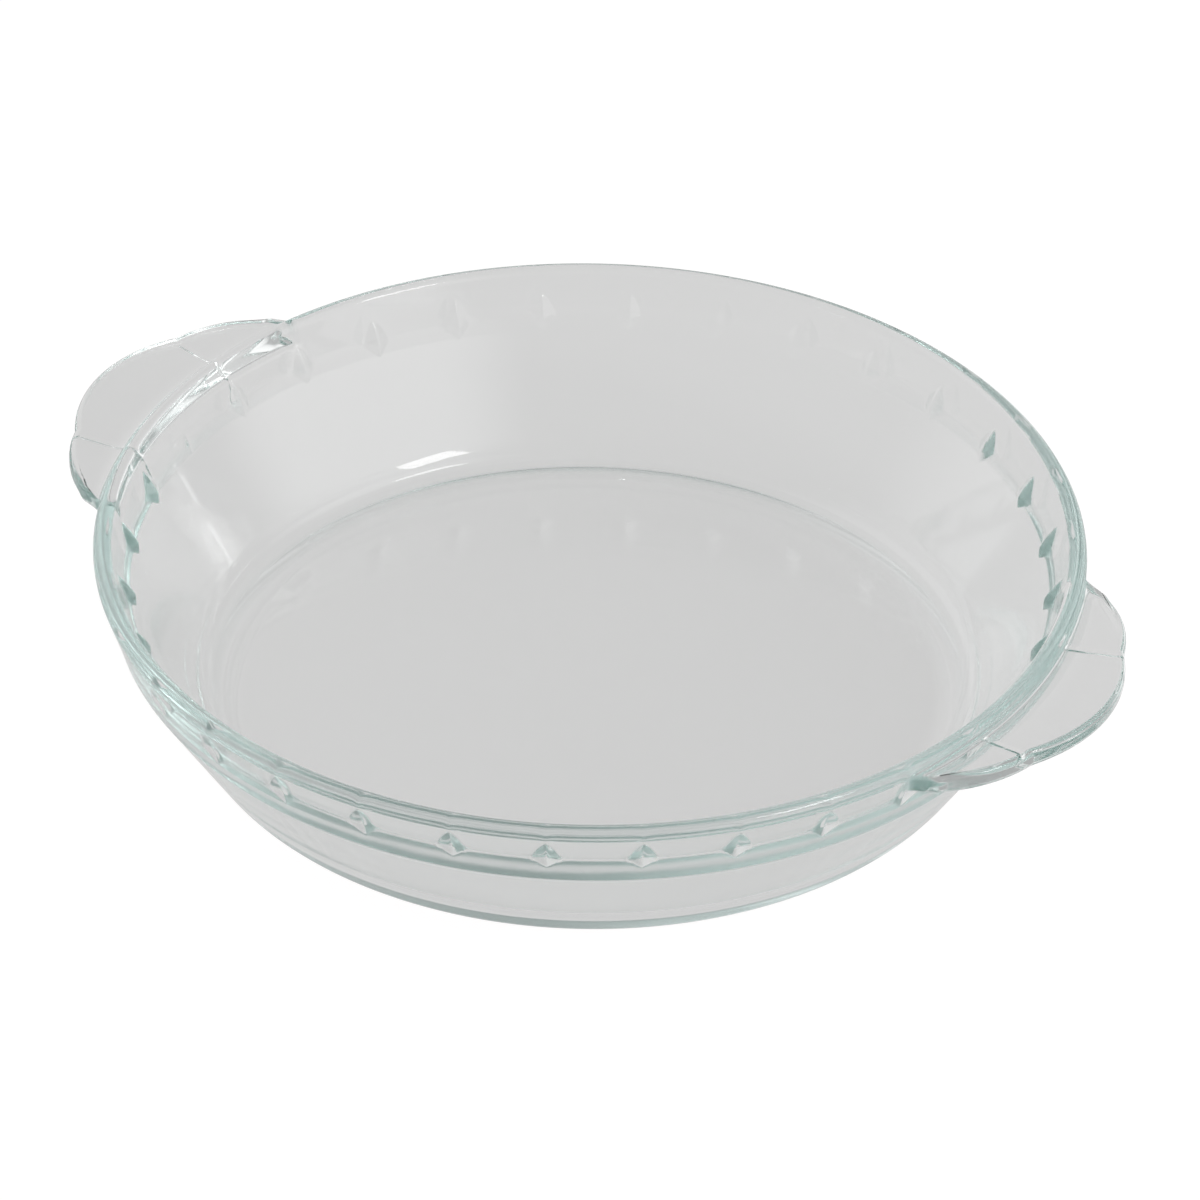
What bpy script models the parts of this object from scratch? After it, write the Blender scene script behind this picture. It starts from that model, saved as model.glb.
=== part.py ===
"""Round glass baking dish with a crimped rim and two lobed handle tabs.

Blender 4.5, metres, +Z up. The origin is the centre of the flat underside, and the handles lie along X.
The dish is one pressing of clear glass. Its skin is a closed grid: each column is one radial section, from
the flat underside up the outside, over the rim and down the inside to the floor. Only the columns of the two
handles carry the rows of the handle tabs.
"""
import math

import bmesh
import bpy

# Body
HEIGHT = 0.0490              # underside to the crest of the rim
RIM_RADIUS = 0.1250          # widest circle of the rim, without the handles
BASE_RADIUS = 0.1009         # where the straight wall would meet the table
BASE_CORNER = 0.0048         # rounding between underside and wall
FLOOR_THICKNESS = 0.0040
FLOOR_CORNER = 0.0150        # rounding between floor and wall, inside
WALL_THICKNESS = 0.0064      # square to the wall

# Rim and the upright collar under it
RIM_THICKNESS = 0.0048       # across the rounded rim
RIM_CROWN = 0.0026           # crest above the widest circle
COLLAR_DEPTH = 0.0140        # crest down to the collar's lower edge, outside
COLLAR_FLARE = 0.0037        # the collar's lower edge lies this far inside the widest circle
STEP_HEIGHT = 0.0043         # the rounded step from the collar in to the wall
STEP_WIDTH = 0.0012
STEP_CORNER = 0.69           # share of the step's height at its inner corner
STEP_HOLLOW = 0.2            # share of its width there
SHOULDER_ROUNDING = 0.0080   # between the wall and the step

# Fold between wall and collar, inside, and the crimps over it
FOLD_DEPTH = 0.0116          # crest down to the fold
CRIMPS_PER_SIDE = 16         # from the middle of one handle to the middle of the other
CRIMP_TURN = 1.8             # degrees that the crimps sit round from the handles' axis
CRIMP_RISE = 0.0053          # fold up to the top of a crimp
CRIMP_DROP = 0.0021          # fold down to its lower end
CRIMP_STAND = 0.0014         # how far its ridge stands inside the fold
CRIMP_WIDTH = 0.0090         # across its feet
CRIMP_FOOT_RISE = 0.0011     # fold up to the widest place of its feet

# Handle tabs: three lobes, the middle one between two notches
TAB_DROP = 0.0025            # crest of the rim down to the tab's top, at the rim
TAB_SLOPE = 0.10             # rise of the tab per unit of its reach
TAB_THICKNESS = 0.0050
TAB_REACH = 0.0203           # tip of the middle lobe beyond the widest circle
NOTCH_REACH = 0.0148         # bottom of a notch beyond the widest circle
NOTCH_ANGLE = 10.1           # degrees from the handle's axis
TAB_END_ANGLE = 22.5         # where the side lobes run into the rim
SIDE_LOBE_BULGE = 0.0041     # how far a side lobe's arc stands out from its chord
TAB_EDGE_TOP = 0.0018        # roundings of the tab's edge
TAB_EDGE_BOTTOM = 0.0018
TAB_EDGE_DRAFT = 0.0002      # the edge leans in this much towards the underside
TAB_ROOT_ABOVE = 0.0050      # width of the hollow between rim and tab, on top
TAB_ROOT_BELOW = 0.0035      # and below
HOLLOW_MIDDLE = 0.35         # share of the hollow's width, on top, where its middle point lies
HOLLOW_RISE = 0.15           # that point's rise over the tab's top, as a share of the tab's drop
ROUNDING_SHARE = 0.4         # most of a short reach that one rounding of the tab takes
CREASE_HEIGHT = 0.0003       # raised crease under the tab, from each notch in and down the collar
CREASE_WIDTH = 0.0012

# Facets
COLUMNS_PER_CRIMP = 6
CORNER_STEPS = 4
SHOULDER_STEPS = 2
EDGE_STEPS = 2
RIM_STEPS = 6
RIDGE_STEPS = 4
SHARP_ANGLE = 35.0

GLASS_COLOUR = (0.86, 0.93, 0.91, 1.0)
GLASS_ROUGHNESS = 0.02
GLASS_IOR = 1.5

# What follows from the sizes above
WIDEST_Z = HEIGHT - RIM_CROWN
COLLAR_FOOT_Z = HEIGHT - COLLAR_DEPTH
COLLAR_FOOT_RADIUS = RIM_RADIUS - COLLAR_FLARE
SHOULDER_Z = COLLAR_FOOT_Z - STEP_HEIGHT
SHOULDER_RADIUS = COLLAR_FOOT_RADIUS - STEP_WIDTH
FOLD_Z = HEIGHT - FOLD_DEPTH
TAB_TOP_Z = HEIGHT - TAB_DROP
CRIMP_STEP = 180.0 / CRIMPS_PER_SIDE


def wall_radius(z):
    """Outside of the straight wall at a height."""
    return BASE_RADIUS + (SHOULDER_RADIUS - BASE_RADIUS) * z / SHOULDER_Z


def collar_radius(z):
    """Outside of the collar at a height."""
    share = (z - COLLAR_FOOT_Z) / (WIDEST_Z - COLLAR_FOOT_Z)
    return COLLAR_FOOT_RADIUS + (RIM_RADIUS - COLLAR_FOOT_RADIUS) * share


WALL_LEAN = math.atan2(SHOULDER_RADIUS - BASE_RADIUS, SHOULDER_Z)
WALL_ACROSS = WALL_THICKNESS / math.cos(WALL_LEAN)
FLOOR_RADIUS = wall_radius(FLOOR_THICKNESS) - WALL_ACROSS
FOLD_RADIUS = wall_radius(FOLD_Z) - WALL_ACROSS


def inside_radius(z):
    """Inside of the wall below the fold, and of the collar above it."""
    if z < FOLD_Z:
        return wall_radius(z) - WALL_ACROSS
    share = (z - FOLD_Z) / (WIDEST_Z - FOLD_Z)
    return FOLD_RADIUS + (RIM_RADIUS - RIM_THICKNESS - FOLD_RADIUS) * share


def corner_arc(radius, z, rise, run, rounding):
    """Arc between a level line at z and a wall that climbs from (radius, z) by rise over run."""
    lean = math.atan2(rise, run)
    start = radius - rounding * math.tan(lean / 2)
    angles = [lean * step / CORNER_STEPS for step in range(CORNER_STEPS + 1)]
    return [(start + rounding * math.sin(a), z + rounding * (1 - math.cos(a))) for a in angles]


def polar(radius, degrees):
    return radius * math.cos(math.radians(degrees)), radius * math.sin(math.radians(degrees))


def circle_through(point_a, point_b, bulge):
    """Centre and radius of the arc from a to b that stands out from its chord, away from the dish's axis."""
    dx, dy = point_b[0] - point_a[0], point_b[1] - point_a[1]
    half = math.hypot(dx, dy) / 2
    radius = (half * half + bulge * bulge) / (2 * bulge)
    middle = (point_a[0] + point_b[0]) / 2, (point_a[1] + point_b[1]) / 2
    inward = (bulge - radius) / (2 * half)
    return (middle[0] + dy * inward, middle[1] - dx * inward), radius


def ray_to_circle(degrees, centre, radius):
    """Distance from the dish's axis to the far side of a circle, along a ray."""
    along = centre[0] * math.cos(math.radians(degrees)) + centre[1] * math.sin(math.radians(degrees))
    return along + math.sqrt(max(along ** 2 - centre[0] ** 2 - centre[1] ** 2 + radius ** 2, 0.0))


NOTCH = polar(RIM_RADIUS + NOTCH_REACH, NOTCH_ANGLE)
MIDDLE_LOBE = circle_through((NOTCH[0], -NOTCH[1]), NOTCH, RIM_RADIUS + TAB_REACH - NOTCH[0])
SIDE_LOBE = circle_through(NOTCH, polar(RIM_RADIUS, TAB_END_ANGLE), SIDE_LOBE_BULGE)


def tab_radius(degrees):
    """Outline of a tab at an angle from its handle's axis."""
    degrees = abs(degrees)
    if degrees >= TAB_END_ANGLE:
        return RIM_RADIUS
    centre, radius = MIDDLE_LOBE if degrees <= NOTCH_ANGLE else SIDE_LOBE
    return ray_to_circle(degrees, centre, radius)


def crimp_fractions(step):
    """Places of the columns within a step of the crimps: ridge, feet, plain stretch and a crease's sides."""
    step_length = FOLD_RADIUS * math.radians(CRIMP_STEP)
    foot = CRIMP_WIDTH / 2 / step_length
    side = CREASE_WIDTH / 2 / step_length
    plain = COLUMNS_PER_CRIMP - 2
    fractions = [0.0] + [foot + (1 - 2 * foot) * place / plain for place in range(plain + 1)]
    if abs(step) == 1:
        fractions.append(side)
    if abs(step + 1) == 1:
        fractions.append(1 - side)
    return sorted(fractions)


def tab_end_column(sign, angles):
    """The column nearest to where a side lobe runs into the rim, among the angles from the handle's axis."""
    return min(angles, key=lambda angle: abs(angle - sign * TAB_END_ANGLE))


def outside_angle(angle, ends):
    """Angle outside that joins a column's angle inside, both from the handle's axis.

    The columns turn with the crimps inside. On the tabs they fan, so that the crimps on both sides of the
    middle one run out to the notches, and two columns lie on the tab's ends.
    """
    turned = angle - CRIMP_TURN
    if abs(turned) <= CRIMP_STEP:
        return NOTCH_ANGLE * turned / CRIMP_STEP
    end = ends[0] if turned < 0 else ends[1]
    side = math.copysign(1, turned)
    first = CRIMP_TURN + side * CRIMP_STEP
    share = (angle - first) / (end - first)
    if share > 1 + 1e-6:
        return angle
    return side * (NOTCH_ANGLE + (TAB_END_ANGLE - NOTCH_ANGLE) * share)


def tab_section(reach, crease):
    """Section of a tab from the collar below, round its edge and in on top to the hollow at the rim."""
    most = ROUNDING_SHARE * reach
    bottom_round, top_round = min(TAB_EDGE_BOTTOM, most), min(TAB_EDGE_TOP, most)
    root_below, root_above = min(TAB_ROOT_BELOW, most), min(TAB_ROOT_ABOVE, most)
    edge = RIM_RADIUS + reach
    top_z = TAB_TOP_Z + TAB_SLOPE * reach
    bottom_z = top_z - TAB_THICKNESS
    root_z = TAB_TOP_Z - TAB_THICKNESS
    turns = [math.pi / 2 * step / EDGE_STEPS for step in range(EDGE_STEPS + 1)]
    points = [(collar_radius(root_z) + root_below, root_z - crease)]
    for a in turns:
        radius = edge - TAB_EDGE_DRAFT - bottom_round * (1 - math.sin(a))
        points.append((radius, bottom_z + bottom_round * (1 - math.cos(a)) - crease * math.cos(a)))
    for a in turns:
        points.append((edge - top_round * (1 - math.cos(a)), top_z - top_round * (1 - math.sin(a))))
    points.append((RIM_RADIUS + root_above, TAB_TOP_Z + TAB_SLOPE * root_above))
    points.append((RIM_RADIUS + root_above * HOLLOW_MIDDLE, TAB_TOP_Z + HOLLOW_RISE * TAB_DROP))
    return points


TAB_ROWS = len(tab_section(TAB_REACH, 0.0))


def outside_section(crease):
    """Section of the outside from the underside's edge up to the collar, below the tabs."""
    points = corner_arc(BASE_RADIUS, 0.0, SHOULDER_Z, SHOULDER_RADIUS - BASE_RADIUS, BASE_CORNER)
    points += shoulder_arc()
    points.append((SHOULDER_RADIUS + STEP_HOLLOW * STEP_WIDTH, SHOULDER_Z + STEP_CORNER * STEP_HEIGHT))
    points.append((COLLAR_FOOT_RADIUS + crease, COLLAR_FOOT_Z))
    under_z = TAB_TOP_Z - TAB_THICKNESS - TAB_ROOT_BELOW
    points.append((collar_radius(under_z) + crease, under_z))
    return points


def shoulder_arc():
    """Arc between the wall and the nearly upright face of the step, which touches both."""
    upper_lean = math.atan2(STEP_HOLLOW * STEP_WIDTH, STEP_CORNER * STEP_HEIGHT)
    cut = SHOULDER_ROUNDING * math.tan((WALL_LEAN - upper_lean) / 2)
    start = SHOULDER_RADIUS - cut * math.sin(WALL_LEAN), SHOULDER_Z - cut * math.cos(WALL_LEAN)
    points = []
    for step in range(SHOULDER_STEPS + 1):
        lean = WALL_LEAN + (upper_lean - WALL_LEAN) * step / SHOULDER_STEPS
        radius = start[0] + SHOULDER_ROUNDING * (math.cos(lean) - math.cos(WALL_LEAN))
        points.append((radius, start[1] + SHOULDER_ROUNDING * (math.sin(WALL_LEAN) - math.sin(lean))))
    return points


def ridge_radius(z):
    """Ridge of a crimp: a parabola from the collar, through its stand at the fold, to the wall."""
    top_z, low_z = FOLD_Z + CRIMP_RISE, FOLD_Z - CRIMP_DROP
    top, middle, low = inside_radius(top_z), FOLD_RADIUS - CRIMP_STAND, inside_radius(low_z)
    share = (z - low_z) / (top_z - low_z)
    fold_share = CRIMP_DROP / (CRIMP_DROP + CRIMP_RISE)
    chord = low + (top - low) * share
    sag = low + (top - low) * fold_share - middle
    return chord - sag * share * (1 - share) / (fold_share * (1 - fold_share))


def fold_section(across):
    """Section over the fold at a distance from a crimp's ridge, which runs out in the collar and the wall."""
    share = min(across / (CRIMP_WIDTH / 2), 1.0)
    points = []
    for step in range(RIDGE_STEPS + 1):
        ridge_z = FOLD_Z + CRIMP_RISE - (CRIMP_RISE + CRIMP_DROP) * step / RIDGE_STEPS
        plain_z = FOLD_Z + CRIMP_FOOT_RISE * (1 - 2 * step / RIDGE_STEPS)
        radius = ridge_radius(ridge_z) * (1 - share) + inside_radius(plain_z) * share
        points.append((radius, ridge_z * (1 - share) + plain_z * share))
    return points


def rim_section(inside, outside):
    """Points over the rounded rim, whose angle runs from the outside's to the inside's."""
    points = []
    for step in range(1, RIM_STEPS + 1):
        a = math.pi * step / RIM_STEPS
        radius = RIM_RADIUS - RIM_THICKNESS / 2 * (1 - math.cos(a))
        angle = inside + (outside - inside) * (1 - step / RIM_STEPS)
        points.append((radius, WIDEST_Z + RIM_CROWN * math.sin(a), angle))
    return points


def column(inside, outside, across, crease):
    """Points of one column, as (radius, z, angle); None repeats the point before it."""
    reach = tab_radius(outside) - RIM_RADIUS
    points = [(radius, z, outside) for radius, z in outside_section(crease)]
    if reach > 0:
        points += [(radius, z, outside) for radius, z in tab_section(reach, crease)]
    else:
        points += [(RIM_RADIUS, WIDEST_Z, outside)] + [None] * (TAB_ROWS - 1)
    points += rim_section(inside, outside)
    floor_corner = corner_arc(FLOOR_RADIUS, FLOOR_THICKNESS, FOLD_Z - FLOOR_THICKNESS,
                              FOLD_RADIUS - FLOOR_RADIUS, FLOOR_CORNER)
    points += [(radius, z, inside) for radius, z in fold_section(across) + floor_corner[::-1]]
    return points


def dish_columns():
    """All columns, once round the dish."""
    places = []
    for step in range(-(CRIMPS_PER_SIDE // 2), CRIMPS_PER_SIDE - CRIMPS_PER_SIDE // 2):
        places += [(step, fraction, CRIMP_TURN + CRIMP_STEP * (step + fraction))
                   for fraction in crimp_fractions(step)]
    angles = [angle for _, _, angle in places]
    ends = tab_end_column(-1, angles), tab_end_column(1, angles)
    columns = []
    for handle in (0.0, 180.0):
        for step, fraction, inside in places:
            outside = outside_angle(inside, ends)
            across = FOLD_RADIUS * math.radians(CRIMP_STEP) * min(fraction, 1 - fraction)
            crease = CREASE_HEIGHT if fraction == 0.0 and abs(step) == 1 else 0.0
            points = column(inside, outside, across, crease)
            columns.append([point and (*polar(point[0], point[2] + handle), point[1]) for point in points])
    return columns


def skin(name, columns):
    """Closed mesh over the columns, with a flat face for the underside and one for the floor."""
    mesh = bpy.data.meshes.new(name)
    grid = bmesh.new()
    rows = []
    for points in columns:
        verts = []
        for point in points:
            verts.append(grid.verts.new(point) if point else verts[-1])
        rows.append(verts)
    for left, right in zip(rows, rows[1:] + rows[:1]):
        for row in range(len(left) - 1):
            corners = [left[row], right[row], right[row + 1], left[row + 1]]
            corners = [corner for place, corner in enumerate(corners) if corner not in corners[:place]]
            if len(corners) > 2:
                grid.faces.new(corners)
    grid.faces.new([verts[0] for verts in reversed(rows)])
    grid.faces.new([verts[-1] for verts in rows])
    bmesh.ops.recalc_face_normals(grid, faces=grid.faces)
    bmesh.ops.triangulate(grid, faces=grid.faces)
    grid.to_mesh(mesh)
    grid.free()
    mesh.shade_smooth()
    mesh.set_sharp_from_angle(angle=math.radians(SHARP_ANGLE))
    return mesh


def glass():
    material = bpy.data.materials.new("clear_glass")
    material.use_nodes = True
    shader = material.node_tree.nodes["Principled BSDF"]
    shader.inputs["Base Color"].default_value = GLASS_COLOUR
    shader.inputs["Roughness"].default_value = GLASS_ROUGHNESS
    shader.inputs["Metallic"].default_value = 0.0
    shader.inputs["IOR"].default_value = GLASS_IOR
    shader.inputs["Transmission Weight"].default_value = 1.0
    return material


def main():
    for item in list(bpy.data.objects):
        bpy.data.objects.remove(item, do_unlink=True)
    mesh = skin("glass_dish", dish_columns())
    mesh.materials.append(glass())
    dish = bpy.data.objects.new("glass_dish", mesh)
    bpy.context.scene.collection.objects.link(dish)


main()
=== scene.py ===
import math

import bpy
import numpy as np
from mathutils import Matrix, Vector


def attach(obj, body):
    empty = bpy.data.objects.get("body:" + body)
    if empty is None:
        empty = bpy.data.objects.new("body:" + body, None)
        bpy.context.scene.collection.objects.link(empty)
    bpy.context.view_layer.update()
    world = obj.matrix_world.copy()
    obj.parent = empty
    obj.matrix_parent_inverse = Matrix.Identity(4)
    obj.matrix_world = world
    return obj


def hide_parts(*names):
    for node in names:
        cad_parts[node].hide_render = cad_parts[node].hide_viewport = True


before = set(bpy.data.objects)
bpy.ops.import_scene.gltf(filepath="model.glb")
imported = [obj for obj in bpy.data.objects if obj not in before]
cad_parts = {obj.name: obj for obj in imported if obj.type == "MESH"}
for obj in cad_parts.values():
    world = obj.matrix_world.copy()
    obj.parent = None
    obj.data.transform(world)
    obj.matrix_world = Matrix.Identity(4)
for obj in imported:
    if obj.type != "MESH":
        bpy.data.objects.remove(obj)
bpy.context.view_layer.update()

# Glass baking dish in a pale studio. Metres, +Z up, handles along X, camera in front to the right.
# The dish is one skin: each column of the grid is a radial section, and the columns go once round.

dish = {
    "height": 0.0490,
    "rimRadius": 0.1250,        # widest circle without the handles
    "baseRadius": 0.1009,
    "baseRounding": 0.0068,
    "floorThickness": 0.0040,
    "floorRounding": 0.0150,
    "wallThickness": 0.0064,
    "rimThickness": 0.0048,
    "rimCrown": 0.0026,         # widest circle up to the crest
    "rimStart": -0.31,          # radians round the rim's oval, where it leaves the collar outside
    "rimEnd": math.pi - 0.20,   # and where it meets the collar inside
    "collarDepth": 0.0140,
    "collarFlare": 0.0037,
    "collarFootRounding": 0.0012,
    "stepHeight": 0.0043,
    "stepWidth": 0.0012,
    "stepHollow": 0.5,          # share of the step's width at its inner corner
    "stepCorner": 0.5,          # share of its height there
    "shoulderRounding": 0.0030,
    "kinkDepth": 0.0116,        # crest down to the fold between the wall and the collar, inside
    "kinkSoftness": 0.0002,
    "crimpsPerSide": 16,
    "crimpTurn": 1.8,           # degrees from the handles' axis to the nearest crimp
    "crimpCornerRise": -0.0003, # fold up to the lower corner of a crimp's ridge
    "crimpStand": 0.0022,       # how far that corner stands inside the fold
    "crimpHeight": 0.0060,      # corner up to the crimp's top on the collar
    "crimpMiddleLess": 0.0014,  # less stand of the one crimp in the middle of each handle
    "crimpSwell": 0.0003,       # how far the ridge swells inwards from the straight line between them
    "crimpSlope": 0.60,         # fall of a crimp's sides per unit away from its ridge
    "crimpUnderside": 0.0,      # slope of the face below the corner, outwards per unit of its fall
    "crimpRounding": 0.0004,    # of the ridge, across it
    "crimpCornerSoftness": 0.0003,
    "crimpSoftness": 0.00012,   # of the crimp's foot
    "crimpRowSpread": 0.00045,  # between the rows that follow a foot
    "kinkMargin": 2.5,          # least distance of those rows from the fold, in spreads
    "columnsOnCrimp": 14,
    "columnsBetween": 8,
    "columnGather": 1.4,        # above 1 the columns crowd at the ridge
}

tab = {
    "drop": 0.0025,             # crest of the rim down to the tab's top, at the rim
    "slope": 0.10,
    "thickness": 0.0050,
    "reach": 0.0203,
    "notchReach": 0.0148,
    "notchAngle": 10.1,
    "endAngle": 22.5,
    "sideBulge": 0.0041,
    "edgeTop": 0.0018,
    "edgeBottom": 0.0018,
    "rootAbove": 0.0050,
    "rootBelow": 0.0035,
    "roundingShare": 0.4,       # most that a rounding takes of the reach
    "rimMeet": 0.45,            # radians up the rim's oval, where the hollow begins
    "hollowWeight": 0.8,
    "fadeReach": 0.0060,        # below this reach the tab fades into the rim
    "rowsOnCollar": 0.45,       # share of a tab's rows that lie on the collar where there is no tab
    "creaseHeight": 0.00022,
    "creaseWidth": 0.0005,
}


def along(before, after, share):
    # Point at a share of the way from before to after
    return before + (after - before) * share


def curve(start, corner, end, weight, steps):
    # Rational quadratic curve: the usual three shares of its parameter, with the corner's times its weight
    t = np.linspace(0, 1, steps + 1)[:, None, None]
    startShare, cornerShare, endShare = (1 - t) ** 2, 2 * t * (1 - t) * weight, t ** 2
    whole = startShare + cornerShare + endShare
    return (startShare * start + cornerShare * corner + endShare * end) / whole


def bend(before, corner, after, rounding, steps):
    # Rows of an arc that touches both legs at one distance from their corner, the rounding over the tangent
    # of half the opening: a curve with the sine of that half as its weight
    cosineLimit = 0.999999
    shareOfLeg = 0.48
    toBefore, toAfter = before - corner, after - corner
    lengthBefore = np.linalg.norm(toBefore, axis=-1, keepdims=True)
    lengthAfter = np.linalg.norm(toAfter, axis=-1, keepdims=True)
    toBefore, toAfter = toBefore / lengthBefore, toAfter / lengthAfter
    cosine = (toBefore * toAfter).sum(-1, keepdims=True)
    half = np.arccos(np.clip(cosine, -cosineLimit, cosineLimit)) / 2
    cut = np.minimum(rounding / np.tan(half), shareOfLeg * np.minimum(lengthBefore, lengthAfter))
    return curve(corner + toBefore * cut, corner, corner + toAfter * cut, np.sin(half), steps)


def smooth(x):
    # Zero below 0, one above 1, and three times the square less twice the cube between
    x = np.clip(x, 0, 1)
    return x * x * (3 - 2 * x)


def softLess(first, second, softness):
    # The smaller of two radii with a hyperbola in place of the corner: half of their sum less the root of
    # their difference squared plus the softness squared
    return (first + second - np.sqrt((first - second) ** 2 + softness ** 2)) / 2


# Heights and radii of the section's corners
kinkZ = dish["height"] - dish["kinkDepth"]
widestZ = dish["height"] - dish["rimCrown"]
collarFootZ = dish["height"] - dish["collarDepth"]
collarFootRadius = dish["rimRadius"] - dish["collarFlare"]
shoulderZ = collarFootZ - dish["stepHeight"]
shoulderRadius = collarFootRadius - dish["stepWidth"]
rimMiddle = dish["rimRadius"] - dish["rimThickness"] / 2


def rimOval(angle):
    # Point of the rim's oval at an angle from its outer side: half the thickness times the cosine, and the
    # crown times the sine
    return (rimMiddle + dish["rimThickness"] / 2 * np.cos(angle), widestZ + dish["rimCrown"] * np.sin(angle))


rimFoot = rimOval(dish["rimStart"])
rimInner = rimOval(dish["rimEnd"])


def collarRadius(z):
    # Outside of the collar: the straight line from its foot to the rim's
    return collarFootRadius + (rimFoot[0] - collarFootRadius) * (z - collarFootZ) / (rimFoot[1] - collarFootZ)


def wallRadius(z):
    # Outside of the wall: the straight line from the base to the shoulder
    return dish["baseRadius"] + (shoulderRadius - dish["baseRadius"]) * z / shoulderZ


# The inside of the wall runs parallel to its outside. The ridge of a crimp is a parabola that starts at its
# corner and ends on the collar.
wallLean = math.atan2(shoulderRadius - dish["baseRadius"], shoulderZ)
wallAcross = dish["wallThickness"] / math.cos(wallLean)
floorRadius = wallRadius(dish["floorThickness"]) - wallAcross
kinkRadius = wallRadius(kinkZ) - wallAcross
wallSlope = math.tan(wallLean)
collarSlope = (rimInner[0] - kinkRadius) / (rimInner[1] - kinkZ)
cornerZ = kinkZ + dish["crimpCornerRise"]
cornerRadius = kinkRadius - dish["crimpStand"]
crimpTopRadius = kinkRadius + collarSlope * (cornerZ + dish["crimpHeight"] - kinkZ)
ridgeCurve = 4 * dish["crimpSwell"] / dish["crimpHeight"] ** 2
ridgeSlope = (crimpTopRadius - cornerRadius) / dish["crimpHeight"] - ridgeCurve * dish["crimpHeight"]

# Angles of the columns inside, in degrees from the handle's axis. A crimp is widest at its corner, and the
# columns on it crowd at its ridge. The rest of a step between two crimps is spaced evenly.
crimpStep = 180.0 / dish["crimpsPerSide"]
stepLength = kinkRadius * math.radians(crimpStep)
widestStand = kinkRadius + collarSlope * (cornerZ - kinkZ) - cornerRadius
halfCrimp = (widestStand / dish["crimpSlope"] + dish["crimpRounding"]) / stepLength
evenly = np.linspace(-1, 1, dish["columnsOnCrimp"] + 1)
onCrimp = halfCrimp * np.sign(evenly) * np.abs(evenly) ** dish["columnGather"]
between = np.linspace(halfCrimp, 1 - halfCrimp, dish["columnsBetween"] + 1)[1:-1]
oneStep = np.concatenate([onCrimp, between])
crimpIndex = np.arange(-dish["crimpsPerSide"] // 2, dish["crimpsPerSide"] - dish["crimpsPerSide"] // 2)
inHalf = (dish["crimpTurn"] + crimpStep * (crimpIndex[:, None] + oneStep[None, :])).ravel()
acrossCrimp = np.tile(np.where(oneStep > 0.5, oneStep - 1, oneStep), 2 * dish["crimpsPerSide"])
acrossCrimp = acrossCrimp * stepLength              # metres from the nearest ridge
insideAngle = np.concatenate([inHalf, inHalf])
nearestCrimp = np.round((insideAngle - dish["crimpTurn"]) / crimpStep)
besideMiddle = (np.abs(nearestCrimp) == 1).astype(float)
handleAngle = np.repeat([0.0, 180.0], len(inHalf))


def outsideAngles(angle):
    # On a tab the columns fan: the ridges beside the middle one run out to the notches, and the columns
    # nearest to the tab's ends are moved onto them. Elsewhere the outside keeps the inside's angle.
    firstLow, firstHigh = dish["crimpTurn"] - crimpStep, dish["crimpTurn"] + crimpStep
    endLow = angle[np.argmin(np.abs(angle + tab["endAngle"]))]
    endHigh = angle[np.argmin(np.abs(angle - tab["endAngle"]))]
    known = np.array([endLow, firstLow, firstHigh, endHigh])
    meant = np.array([-tab["endAngle"], -tab["notchAngle"], tab["notchAngle"], tab["endAngle"]])
    return np.where((angle >= endLow) & (angle <= endHigh), np.interp(angle, known, meant), angle)


outInHalf = outsideAngles(inHalf)
outsideAngle = np.concatenate([outInHalf, outInHalf])


def polar(radius, degrees):
    # Point of the plane: the radius times the cosine and the sine of the angle
    return np.stack([radius * np.cos(np.radians(degrees)), radius * np.sin(np.radians(degrees))], axis=-1)


def arcThrough(first, second, bulge):
    # Centre and radius of the arc from first to second that stands out from its chord by bulge: a quarter of
    # the chord squared plus the bulge squared, over twice the bulge, is its radius
    chord = second - first
    long = np.linalg.norm(chord)
    radius = (long * long / 4 + bulge * bulge) / (2 * bulge)
    outward = np.array([chord[1], -chord[0]]) / long
    return (first + second) / 2 + outward * (bulge - radius), radius


def rayToArc(degrees, centre, radius):
    # Distance from the axis to the far side of an arc's circle along a ray: how far ahead its centre lies,
    # plus the root of that squared less the centre's distance squared plus the radius squared
    ahead = centre[0] * np.cos(np.radians(degrees)) + centre[1] * np.sin(np.radians(degrees))
    return ahead + np.sqrt(np.maximum(ahead ** 2 - centre[0] ** 2 - centre[1] ** 2 + radius ** 2, 0))


def tabReach(degrees):
    # Outline of a tab beyond the widest circle: the middle lobe up to the notches, then the side lobes
    degrees = np.abs(degrees)
    notch = polar(dish["rimRadius"] + tab["notchReach"], tab["notchAngle"])
    end = polar(dish["rimRadius"], tab["endAngle"])
    middle = arcThrough(notch * [1, -1], notch, dish["rimRadius"] + tab["reach"] - notch[0])
    side = arcThrough(notch, end, tab["sideBulge"])
    reach = np.where(degrees <= tab["notchAngle"], rayToArc(degrees, *middle), rayToArc(degrees, *side))
    return np.where(degrees < tab["endAngle"], reach - dish["rimRadius"], 0)


def insideRadius(z):
    # Inside of the wall and the collar at the heights of one row. A crimp is a hipped roof: its ridge is a
    # parabola from the collar to the corner and a straight line below, and both of its sides fall away from
    # the ridge at one slope. The crimp in the middle of a handle is moved outwards whole.
    wall = kinkRadius + wallSlope * (z - kinkZ)
    collar = kinkRadius + collarSlope * (z - kinkZ)
    fromRidge = np.sqrt(acrossCrimp ** 2 + dish["crimpRounding"] ** 2) - dish["crimpRounding"]
    above = cornerRadius + ridgeSlope * (z - cornerZ) + ridgeCurve * np.maximum(z - cornerZ, 0) ** 2
    below = cornerRadius + dish["crimpUnderside"] * (cornerZ - z)
    roof = -softLess(-above, -below, dish["crimpCornerSoftness"]) + dish["crimpSlope"] * fromRidge
    roof = roof + dish["crimpMiddleLess"] * (nearestCrimp == 0)
    return softLess(softLess(wall, collar, dish["kinkSoftness"]), roof, dish["crimpSoftness"])


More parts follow.
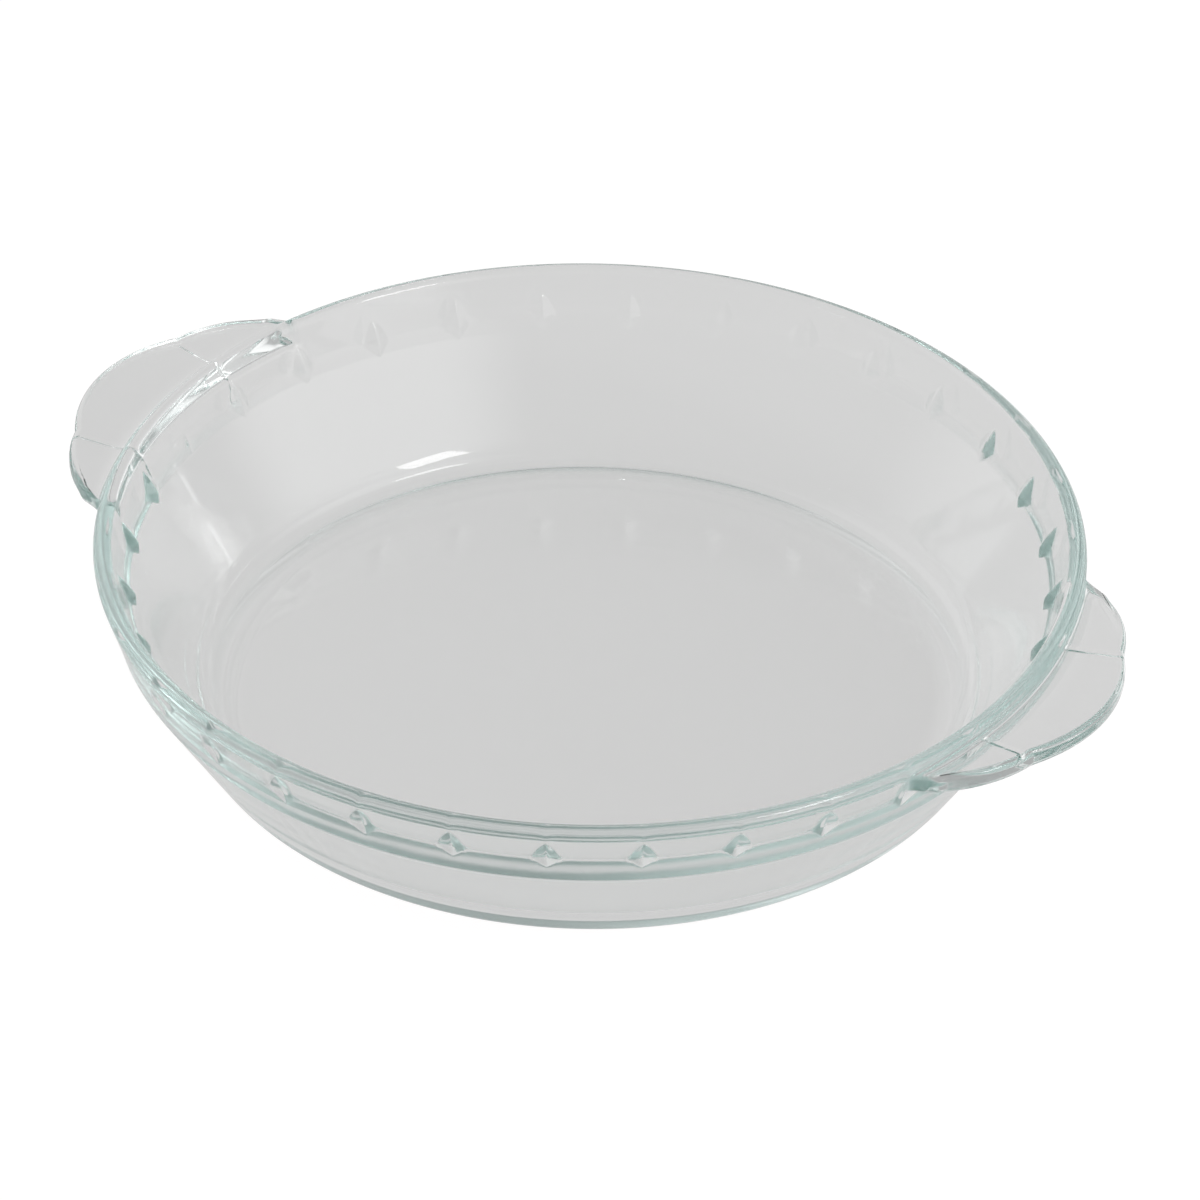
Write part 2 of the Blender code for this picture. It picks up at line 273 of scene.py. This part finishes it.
def crimpRows():
    # Heights of the rows from the rim to the wall. Rows follow the crimp's foot on the collar, its corner and
    # its foot on the wall: the roots of the equations of the roof with either line. Beside a crimp they keep
    # to the fold.
    fromRidge = np.abs(acrossCrimp) * dish["crimpSlope"]
    gap = fromRidge - widestStand
    lean = ridgeSlope - collarSlope
    rise = (-lean + np.sqrt(np.maximum(lean ** 2 - 4 * ridgeCurve * gap, 0))) / (2 * ridgeCurve)
    wallStand = kinkRadius + wallSlope * (cornerZ - kinkZ) - cornerRadius
    fall = (wallStand - fromRidge) / (wallSlope + dish["crimpUnderside"])
    spread = dish["crimpRowSpread"]
    margin = dish["kinkMargin"] * spread
    top = np.maximum(cornerZ + rise * (gap < 0), kinkZ + margin)
    bottom = np.minimum(cornerZ - fall, kinkZ - margin)
    middle = along(cornerZ, (top + bottom) / 2, smooth(fromRidge / widestStand))
    rows = [along(rimInner[1], top + spread, share) for share in (0.35, 0.7)]
    rows += [top + share * spread for share in (1, 0.5, 0, -0.5, -1)]
    rows += [along(top - spread, middle + spread / 2, share) for share in (0.25, 0.5, 0.75, 1)]
    rows += [middle + share * spread for share in (0.2, 0, -0.2)]
    rows += [along(middle - spread / 2, bottom + spread, share) for share in (0, 0.5)]
    rows += [bottom + share * spread for share in (1, 0.5, 0, -0.5, -1, -3)]
    return rows


def flat(radius, z):
    # Radius and height of every column in one row, from one value for all columns or one for each
    none = np.zeros(len(insideAngle))
    return np.stack(np.broadcast_arrays(radius + none, z + none), axis=-1)


def section():
    # Radii and heights of all rows and columns, and each point's angle. The tuples of shares place rows
    # between two corners, and the last value of a bend or a curve is its count of steps.
    reach = tabReach(outsideAngle)
    topZ = dish["height"] - tab["drop"]
    rootZ = topZ - tab["thickness"]

    # Underside, foot, wall, step and collar
    under = [flat(share * dish["baseRadius"], 0.0) for share in (0.25, 0.5, 0.7, 0.85, 0.91)]
    foot = flat(dish["baseRadius"], 0.0)
    shoulder = flat(shoulderRadius, shoulderZ)
    stepCorner = flat(shoulderRadius + dish["stepHollow"] * dish["stepWidth"],
                      shoulderZ + dish["stepCorner"] * dish["stepHeight"])
    collarFoot = flat(collarFootRadius, collarFootZ)
    underTab = flat(collarRadius(rootZ - tab["rootBelow"]), rootZ - tab["rootBelow"])
    rows = under + list(bend(under[-1], foot, shoulder, dish["baseRounding"], 8))
    rows += [along(foot, shoulder, share) for share in (0.3, 0.5, 0.7, 0.85)]
    rows += list(bend(foot, shoulder, stepCorner, dish["shoulderRounding"], 6))
    rows += list(bend(shoulder, stepCorner, collarFoot, dish["collarFootRounding"], 4))
    rows += list(bend(stepCorner, collarFoot, underTab, dish["collarFootRounding"], 4))
    creaseFoot = len(rows)
    rows += [along(collarFoot, underTab, share) for share in (0.35, 0.7)]

    # Tab: collar, root below, underside, edge, top, hollow at the rim
    widest = np.maximum(reach, tab["fadeReach"])
    edge = dish["rimRadius"] + widest
    most = tab["roundingShare"] * widest
    edgeTopZ = topZ + tab["slope"] * reach
    rootBelow = np.minimum(tab["rootBelow"], most)
    rootAbove = np.minimum(tab["rootAbove"], most)
    underRoot = flat(collarRadius(rootZ), rootZ)
    bottomEdge = flat(edge, edgeTopZ - tab["thickness"])
    topEdge = flat(edge, edgeTopZ)
    meetAngle = tab["rimMeet"]
    meet = flat(*rimOval(meetAngle))
    slopeAtMeet = dish["rimThickness"] / 2 * math.sin(meetAngle) / (dish["rimCrown"] * math.cos(meetAngle))
    hollowRadius = meet[:, 0] + (meet[:, 1] - topZ) * slopeAtMeet
    hollow = flat(hollowRadius, topZ)
    topRoot = flat(hollowRadius + rootAbove, topZ + tab["slope"] * rootAbove)
    tabRows = list(bend(underTab, underRoot, bottomEdge, rootBelow[:, None], 5))
    tabRows += [along(underRoot, bottomEdge, 0.5)]
    rowsToEdge = len(tabRows)
    tabRows += list(bend(underRoot, bottomEdge, topEdge, np.minimum(tab["edgeBottom"], most)[:, None], 6))
    tabRows += list(bend(bottomEdge, topEdge, topRoot, np.minimum(tab["edgeTop"], most)[:, None], 6))
    tabRows += [along(topEdge, topRoot, share) for share in (0.35, 0.7)]
    tabRows += list(curve(topRoot, hollow, meet, tab["hollowWeight"], 7))

    # The same rows where there is no tab, spread evenly up the collar and then round the rim's oval
    share = np.linspace(0, 1, len(tabRows))
    onCollar = tab["rowsOnCollar"]
    turn = along(dish["rimStart"], meetAngle, np.clip((share - onCollar) / (1 - onCollar), 0, 1))
    ovalRadius, ovalZ = rimOval(turn)
    collarZ = along(underTab[0, 1], rimFoot[1], np.clip(share / onCollar, 0, 1))
    plainZ = np.where(share < onCollar, collarZ, ovalZ)
    plainRadius = np.where(share < onCollar, collarRadius(plainZ), ovalRadius)
    fade = smooth(reach / tab["fadeReach"])[:, None]
    creaseEnd = len(rows) + rowsToEdge
    for row, radius, z in zip(tabRows, plainRadius, plainZ):
        rows.append(along(flat(radius, z), row, fade))

    # Rim, collar inside, crimps, wall and floor
    outsideRows = len(rows)
    rows += [flat(*rimOval(angle)) for angle in np.linspace(meetAngle, dish["rimEnd"], 15)[1:]]
    rimRows = len(rows)
    kink = flat(kinkRadius, kinkZ)
    floorEdge = flat(floorRadius, dish["floorThickness"])
    floorMiddle = flat(0.0, dish["floorThickness"])
    rows += [np.stack([insideRadius(z), z], axis=-1) for z in crimpRows()]
    rows += [along(kink, floorEdge, share) for share in (0.25, 0.4, 0.55, 0.7)]
    rows += list(bend(kink, floorEdge, floorMiddle, dish["floorRounding"], 10))
    rows += [flat(share * floorRadius, dish["floorThickness"]) for share in (0.88, 0.8, 0.65, 0.45, 0.25)]
    places = np.array(rows)

    # Crease from each notch in along the underside and down the collar: the rows there move along the
    # section's normal by a bell curve across the column of the crimp, less at both ends of the crease
    ahead = np.gradient(places, axis=0)
    ahead /= np.maximum(np.linalg.norm(ahead, axis=-1, keepdims=True), 1e-9)
    normal = np.stack([ahead[:, :, 1], -ahead[:, :, 0]], axis=-1)
    bell = np.exp(-(acrossCrimp / tab["creaseWidth"]) ** 2) * besideMiddle
    rowShare = np.zeros(len(rows))
    rowShare[creaseFoot - 2] = 0.4
    rowShare[creaseFoot - 1:creaseEnd] = 1
    rowShare[creaseEnd:creaseEnd + 4] = (1, 0.8, 0.5, 0.2)
    places += normal * (tab["creaseHeight"] * bell * rowShare[:, None])[:, :, None]

    # Share of the outside's angle in each row: it grows over the underside, is whole up to the rim, and fades
    # over the rim
    turnShare = np.ones(len(rows))
    turnShare[:creaseFoot - 1] = np.linspace(0, 1, creaseFoot)[:-1]
    turnShare[outsideRows:rimRows] = np.linspace(1, 0, rimRows - outsideRows + 1)[1:]
    turnShare[rimRows:] = 0
    angle = insideAngle + (outsideAngle - insideAngle) * turnShare[:, None]
    return places, angle + handleAngle


def dishMesh(name):
    # Every point is its section's radius turned about Z by its angle. Quads join neighbouring rows and
    # columns, and triangles close the underside and the floor at the axis.
    places, angle = section()
    rowCount, columnCount = angle.shape
    x = places[:, :, 0] * np.cos(np.radians(angle))
    y = places[:, :, 0] * np.sin(np.radians(angle))
    points = np.stack([x, y, places[:, :, 1]], axis=-1).reshape(-1, 3)
    poles = np.array([[0, 0, 0], [0, 0, dish["floorThickness"]]])
    points = np.concatenate([points, poles])
    index = np.arange(rowCount * columnCount).reshape(rowCount, columnCount)
    beside = np.roll(index, -1, axis=1)
    quads = np.stack([index[:-1], beside[:-1], beside[1:], index[1:]], axis=-1).reshape(-1, 4)
    bottom = np.stack([beside[0], index[0], np.full(columnCount, len(points) - 2)], axis=-1)
    top = np.stack([index[-1], beside[-1], np.full(columnCount, len(points) - 1)], axis=-1)
    mesh = bpy.data.meshes.new(name)
    mesh.from_pydata(points, [], quads.tolist() + bottom.tolist() + top.tolist())
    mesh.validate()
    mesh.shade_smooth()
    return mesh


glassLook = {
    "tint": (0.985, 0.995, 0.992, 1.0),
    "ior": 1.5,
    "absorbColour": (0.65, 0.80, 0.775, 1.0),
    "absorbDensity": 5.0,
    "roughness": (0.03, 0.08),  # from the clearest to the dullest spots
    "spotRange": (0.35, 0.65),  # of the noise, from the clearest to the dullest
    "spots": (20.0, 3.0),       # scale and detail
    "waves": (70.0, 1.0),       # slow waves of fire-polished glass, about 14 mm long
    "waveHeight": 0.000035,
    "grit": (900.0, 2.0),       # fine grain, about 1 mm long
    "gritHeight": 0.0000008,
}


def noise(tree, place, scale, detail):
    # Noise on Object coordinates
    texture = tree.nodes.new("ShaderNodeTexNoise")
    texture.inputs["Scale"].default_value = scale
    texture.inputs["Detail"].default_value = detail
    tree.links.new(place.outputs["Object"], texture.inputs["Vector"])
    return texture.outputs["Fac"]


def bump(tree, height, distance):
    # Bump of a height from 0 to 1 times a distance in metres
    node = tree.nodes.new("ShaderNodeBump")
    node.inputs["Distance"].default_value = distance
    tree.links.new(height, node.inputs["Height"])
    return node


def glassMaterial():
    # Clear glass that takes red out of the light over long ways, with duller spots, slow waves and grit
    material = bpy.data.materials.new("clearPressedGlass")
    material.use_nodes = True
    tree = material.node_tree
    shader = tree.nodes["Principled BSDF"]
    shader.inputs["Base Color"].default_value = glassLook["tint"]
    shader.inputs["Metallic"].default_value = 0.0
    shader.inputs["IOR"].default_value = glassLook["ior"]
    shader.inputs["Transmission Weight"].default_value = 1.0
    place = tree.nodes.new("ShaderNodeTexCoord")
    roughness = tree.nodes.new("ShaderNodeMapRange")
    roughness.inputs["From Min"].default_value = glassLook["spotRange"][0]
    roughness.inputs["From Max"].default_value = glassLook["spotRange"][1]
    roughness.inputs["To Min"].default_value = glassLook["roughness"][0]
    roughness.inputs["To Max"].default_value = glassLook["roughness"][1]
    tree.links.new(noise(tree, place, *glassLook["spots"]), roughness.inputs["Value"])
    tree.links.new(roughness.outputs["Result"], shader.inputs["Roughness"])
    waves = bump(tree, noise(tree, place, *glassLook["waves"]), glassLook["waveHeight"])
    grit = bump(tree, noise(tree, place, *glassLook["grit"]), glassLook["gritHeight"])
    tree.links.new(waves.outputs["Normal"], grit.inputs["Normal"])
    tree.links.new(grit.outputs["Normal"], shader.inputs["Normal"])
    absorb = tree.nodes.new("ShaderNodeVolumeAbsorption")
    absorb.inputs["Color"].default_value = glassLook["absorbColour"]
    absorb.inputs["Density"].default_value = glassLook["absorbDensity"]
    tree.links.new(absorb.outputs["Volume"], tree.nodes["Material Output"].inputs["Volume"])
    return material


dishPiece = bpy.data.objects.new("glassDish", dishMesh("glassDish"))
bpy.context.scene.collection.objects.link(dishPiece)
dishPiece.data.materials.append(glassMaterial())
weighted = dishPiece.modifiers.new("flatFacesLead", "WEIGHTED_NORMAL")
weighted.mode = "FACE_AREA"
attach(dishPiece, "root")
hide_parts("glass_dish")
print("dish made,", len(dishPiece.data.polygons), "faces")

studio = {
    "floorSize": 6.0,
    "floorDrop": 0.0003,        # gap under the dish
    "floorColour": (0.12, 0.12, 0.12, 1.0),
    "floorRoughness": 0.9,
    "shineColour": (1.0, 0.985, 0.985, 1.0),
    "shineForCamera": 0.96,     # light that the floor gives camera rays, so that it shows white
    "shineForGlass": 0.598,     # and glossy and transmission rays
    "roomColour": (0.46, 0.46, 0.46, 1.0),
    "sides": [
        # bearing from +X, elevation, brightness, and the cosines from its middle where it ends and is full
        (92.0, 6.0, 0.40, 0.55, 0.90),      # dim far side
        (2.0, 27.0, 1.50, 0.74, 0.966),     # bright right
        (168.0, 24.0, 1.15, 0.64, 0.95),    # bright left
    ],
    "lampTarget": (0.0, 0.0, 0.03),
    "lamps": [
        # name, bearing from +X, elevation, distance, width, height, watts
        ("windowRight", -6.0, 45.0, 1.6, 0.42, 0.36, 3.4),
        ("stripBehind", 58.0, 4.0, 1.5, 0.03, 0.50, 0.15),
    ],
    "bounces": 128,             # light turns many times inside the rim and the crimps
}


def towards(bearing, elevation):
    # Unit vector at a bearing from +X and an elevation
    bearing, elevation = math.radians(bearing), math.radians(elevation)
    level = math.cos(elevation)
    return Vector((level * math.cos(bearing), level * math.sin(bearing), math.sin(elevation)))


def aimAt(place, target, roll):
    # Matrix of a lamp or a camera that looks from place to target, turned by roll about its own axis
    ahead = (Vector(target) - Vector(place)).normalized()
    right = ahead.cross(Vector((0, 0, 1))).normalized()
    up = right.cross(ahead)
    turn = Matrix.Rotation(roll, 3, "Z")
    axes = Matrix((right, up, -ahead)).transposed() @ turn
    return Matrix.Translation(place) @ axes.to_4x4()


def makeFloor():
    # Grey paper that takes the dish's shadow, and shines so that the camera sees it white and the glass pale
    side = studio["floorSize"] / 2
    corners = [(-side, -side, 0), (side, -side, 0), (side, side, 0), (-side, side, 0)]
    mesh = bpy.data.meshes.new("studioFloor")
    mesh.from_pydata(corners, [], [(0, 1, 2, 3)])
    floor = bpy.data.objects.new("studioFloor", mesh)
    floor.location.z = -studio["floorDrop"]
    bpy.context.scene.collection.objects.link(floor)
    material = bpy.data.materials.new("studioPaper")
    material.use_nodes = True
    tree = material.node_tree
    shader = tree.nodes["Principled BSDF"]
    shader.inputs["Base Color"].default_value = studio["floorColour"]
    shader.inputs["Roughness"].default_value = studio["floorRoughness"]
    shader.inputs["Specular IOR Level"].default_value = 0.0
    rays = tree.nodes.new("ShaderNodeLightPath")
    inGlass = tree.nodes.new("ShaderNodeMath")
    inGlass.operation = "MAXIMUM"
    toGlass = tree.nodes.new("ShaderNodeMath")
    toGlass.operation = "MULTIPLY"
    toGlass.inputs[1].default_value = studio["shineForGlass"]
    toCamera = tree.nodes.new("ShaderNodeMath")
    toCamera.operation = "MULTIPLY_ADD"
    toCamera.inputs[1].default_value = studio["shineForCamera"]
    tree.links.new(rays.outputs["Is Glossy Ray"], inGlass.inputs[0])
    tree.links.new(rays.outputs["Is Transmission Ray"], inGlass.inputs[1])
    tree.links.new(inGlass.outputs[0], toGlass.inputs[0])
    tree.links.new(rays.outputs["Is Camera Ray"], toCamera.inputs[0])
    tree.links.new(toGlass.outputs[0], toCamera.inputs[2])
    tree.links.new(toCamera.outputs[0], shader.inputs["Emission Strength"])
    shader.inputs["Emission Color"].default_value = studio["shineColour"]
    mesh.materials.append(material)


def makeWorld():
    # The room's colour with a round patch for each of its sides, which grows in by a smooth step of the
    # cosine of the angle from its middle
    world = bpy.data.worlds.new("paleRoom")
    world.use_nodes = True
    tree = world.node_tree
    place = tree.nodes.new("ShaderNodeTexCoord")
    colour = None
    for bearing, elevation, brightness, fromCosine, toCosine in studio["sides"]:
        near = tree.nodes.new("ShaderNodeVectorMath")
        near.operation = "DOT_PRODUCT"
        near.inputs[1].default_value = towards(bearing, elevation)
        share = tree.nodes.new("ShaderNodeMapRange")
        share.interpolation_type = "SMOOTHSTEP"
        share.inputs["From Min"].default_value = fromCosine
        share.inputs["From Max"].default_value = toCosine
        mix = tree.nodes.new("ShaderNodeMix")
        mix.data_type = "RGBA"
        mix.inputs[6].default_value = studio["roomColour"]
        mix.inputs[7].default_value = (brightness, brightness, brightness, 1.0)
        tree.links.new(place.outputs["Generated"], near.inputs[0])
        tree.links.new(near.outputs["Value"], share.inputs["Value"])
        tree.links.new(share.outputs["Result"], mix.inputs[0])
        if colour is not None:
            tree.links.new(colour, mix.inputs[6])
        colour = mix.outputs[2]
    tree.links.new(colour, tree.nodes["Background"].inputs["Color"])
    bpy.context.scene.world = world


def makeLamps():
    # Each lamp stands at its bearing and elevation from the target and faces it
    target = Vector(studio["lampTarget"])
    for name, bearing, elevation, distance, width, height, watts in studio["lamps"]:
        data = bpy.data.lights.new(name, "AREA")
        data.shape = "RECTANGLE"
        data.size = width
        data.size_y = height
        data.energy = watts
        lamp = bpy.data.objects.new(name, data)
        lamp.matrix_world = aimAt(target + distance * towards(bearing, elevation), target, 0.0)
        bpy.context.scene.collection.objects.link(lamp)


view = {
    "elevation": 35.17,
    "turn": 28.86,              # the camera stands this far round from -Y towards +X
    "distance": 2.147,
    "target": (0.0, 0.0, 0.0464),
    "roll": 0.90,
    "lens": 255.87,
    "sensor": 36.0,
    "shiftX": 0.00808,
    "shiftY": -0.04917,
    "clip": (0.1, 50.0),
}


def makeCamera():
    # A long lens from the front right, shifted so that the dish sits where the photo has it
    outward = towards(view["turn"] - 90, view["elevation"])
    place = Vector(view["target"]) + outward * view["distance"]
    data = bpy.data.cameras.new("photoCamera")
    data.sensor_width = view["sensor"]
    data.lens = view["lens"]
    data.shift_x = view["shiftX"]
    data.shift_y = view["shiftY"]
    data.clip_start, data.clip_end = view["clip"]
    camera = bpy.data.objects.new("photoCamera", data)
    camera.matrix_world = aimAt(place, view["target"], math.radians(view["roll"]))
    bpy.context.scene.collection.objects.link(camera)
    bpy.context.scene.camera = camera


makeFloor()
makeWorld()
makeLamps()
makeCamera()
scene = bpy.context.scene
scene.view_settings.view_transform = "Standard"
scene.cycles.max_bounces = studio["bounces"]
scene.cycles.glossy_bounces = studio["bounces"]
scene.cycles.transmission_bounces = studio["bounces"]
print("studio made")
